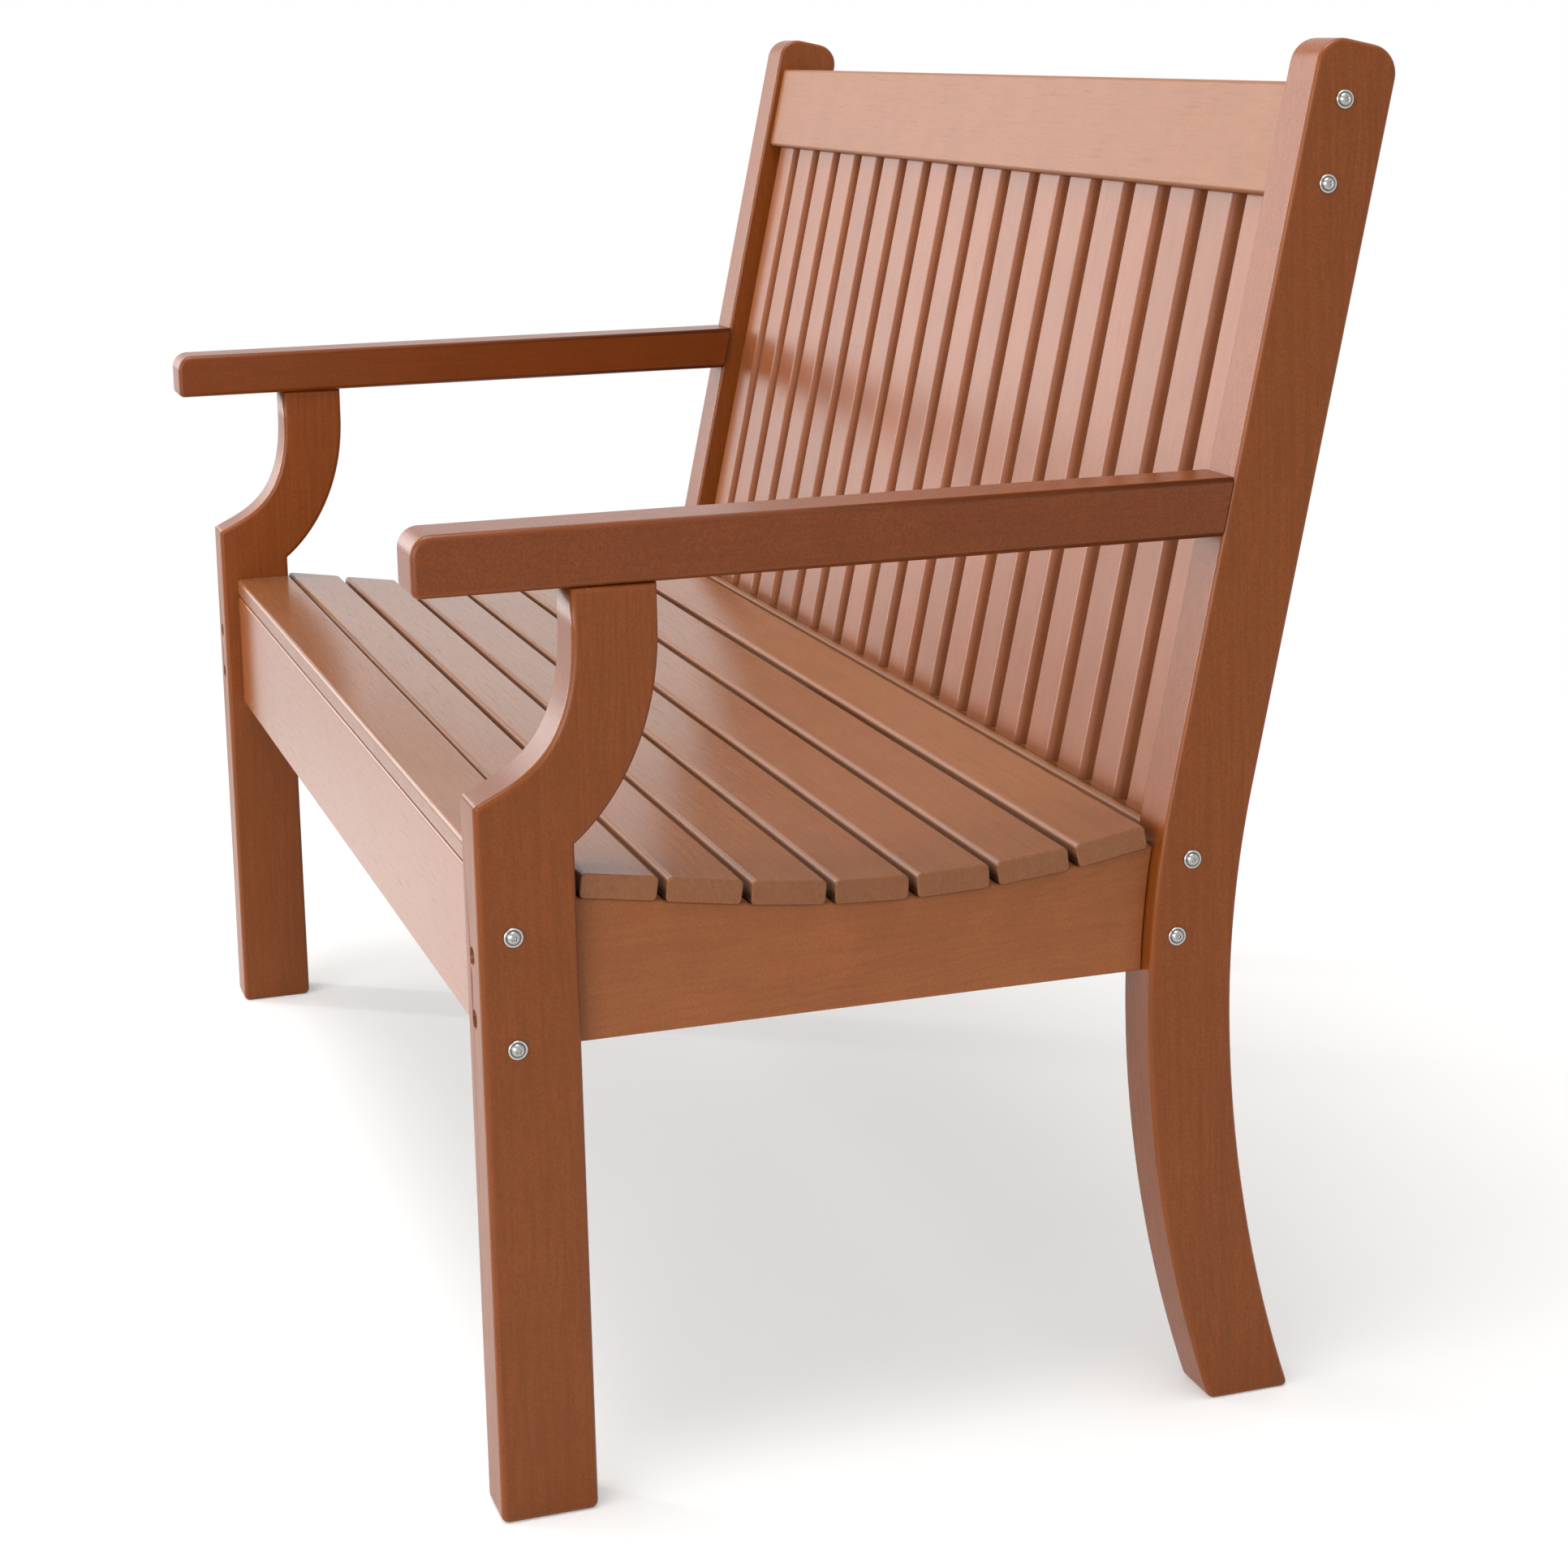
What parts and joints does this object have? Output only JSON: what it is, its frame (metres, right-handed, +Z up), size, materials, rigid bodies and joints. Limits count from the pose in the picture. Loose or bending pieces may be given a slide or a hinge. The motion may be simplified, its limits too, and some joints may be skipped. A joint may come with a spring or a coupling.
{
  "type": "garden bench",
  "caption": "Two-seat garden bench with a raked back of upright planks, a dished plank seat, flat arms on scrolled front legs and sabre rear legs.",
  "frame": {"origin": "bottom centre of the bench's bounding box, on the floor", "axes": "+X to the right as seen from in front, along the seat; -Y the way a sitter faces; +Z up"},
  "size_m": [1.2074, 0.6526, 0.9069],
  "materials": {
    "timber": "satin, embossed wood grain",
    "steel": "satin"
  },
  "bodies": {
    "root": {"arm_bolt_left": "steel", "arm_bolt_right": "steel", "arm_left": "timber", "arm_right": "timber", "back_bottom_rail": "timber", "back_plank_01": "timber", "back_plank_02": "timber", "back_plank_03": "timber", "back_plank_04": "timber", "back_plank_05": "timber", "back_plank_06": "timber", "back_plank_07": "timber", "back_plank_08": "timber", "back_plank_09": "timber", "back_plank_10": "timber", "back_plank_11": "timber", "back_plank_12": "timber", "back_plank_13": "timber", "back_plank_14": "timber", "back_plank_15": "timber", "back_plank_16": "timber", "back_plank_17": "timber", "back_plank_18": "timber", "back_top_rail": "timber", "bottom_rail_bolt_left_lower": "steel", "bottom_rail_bolt_left_upper": "steel", "bottom_rail_bolt_right_lower": "steel", "bottom_rail_bolt_right_upper": "steel", "front_leg_left": "timber", "front_leg_right": "timber", "front_rail": "timber", "front_rail_bolt_left_lower": "steel", "front_rail_bolt_left_upper": "steel", "front_rail_bolt_right_lower": "steel", "front_rail_bolt_right_upper": "steel", "rear_leg_left": "timber", "rear_leg_right": "timber", "seat_bearer": "timber", "seat_plank_1": "timber", "seat_plank_2": "timber", "seat_plank_3": "timber", "seat_plank_4": "timber", "seat_plank_5": "timber", "seat_plank_6": "timber", "seat_plank_7": "timber", "seat_plank_8": "timber", "side_rail_front_bolt_left_lower": "steel", "side_rail_front_bolt_left_upper": "steel", "side_rail_front_bolt_right_lower": "steel", "side_rail_front_bolt_right_upper": "steel", "side_rail_left": "timber", "side_rail_rear_bolt_left_lower": "steel", "side_rail_rear_bolt_left_upper": "steel", "side_rail_rear_bolt_right_lower": "steel", "side_rail_rear_bolt_right_upper": "steel", "side_rail_right": "timber", "top_rail_bolt_left_lower": "steel", "top_rail_bolt_left_upper": "steel", "top_rail_bolt_right_lower": "steel", "top_rail_bolt_right_upper": "steel"}
  },
  "joints": []
}
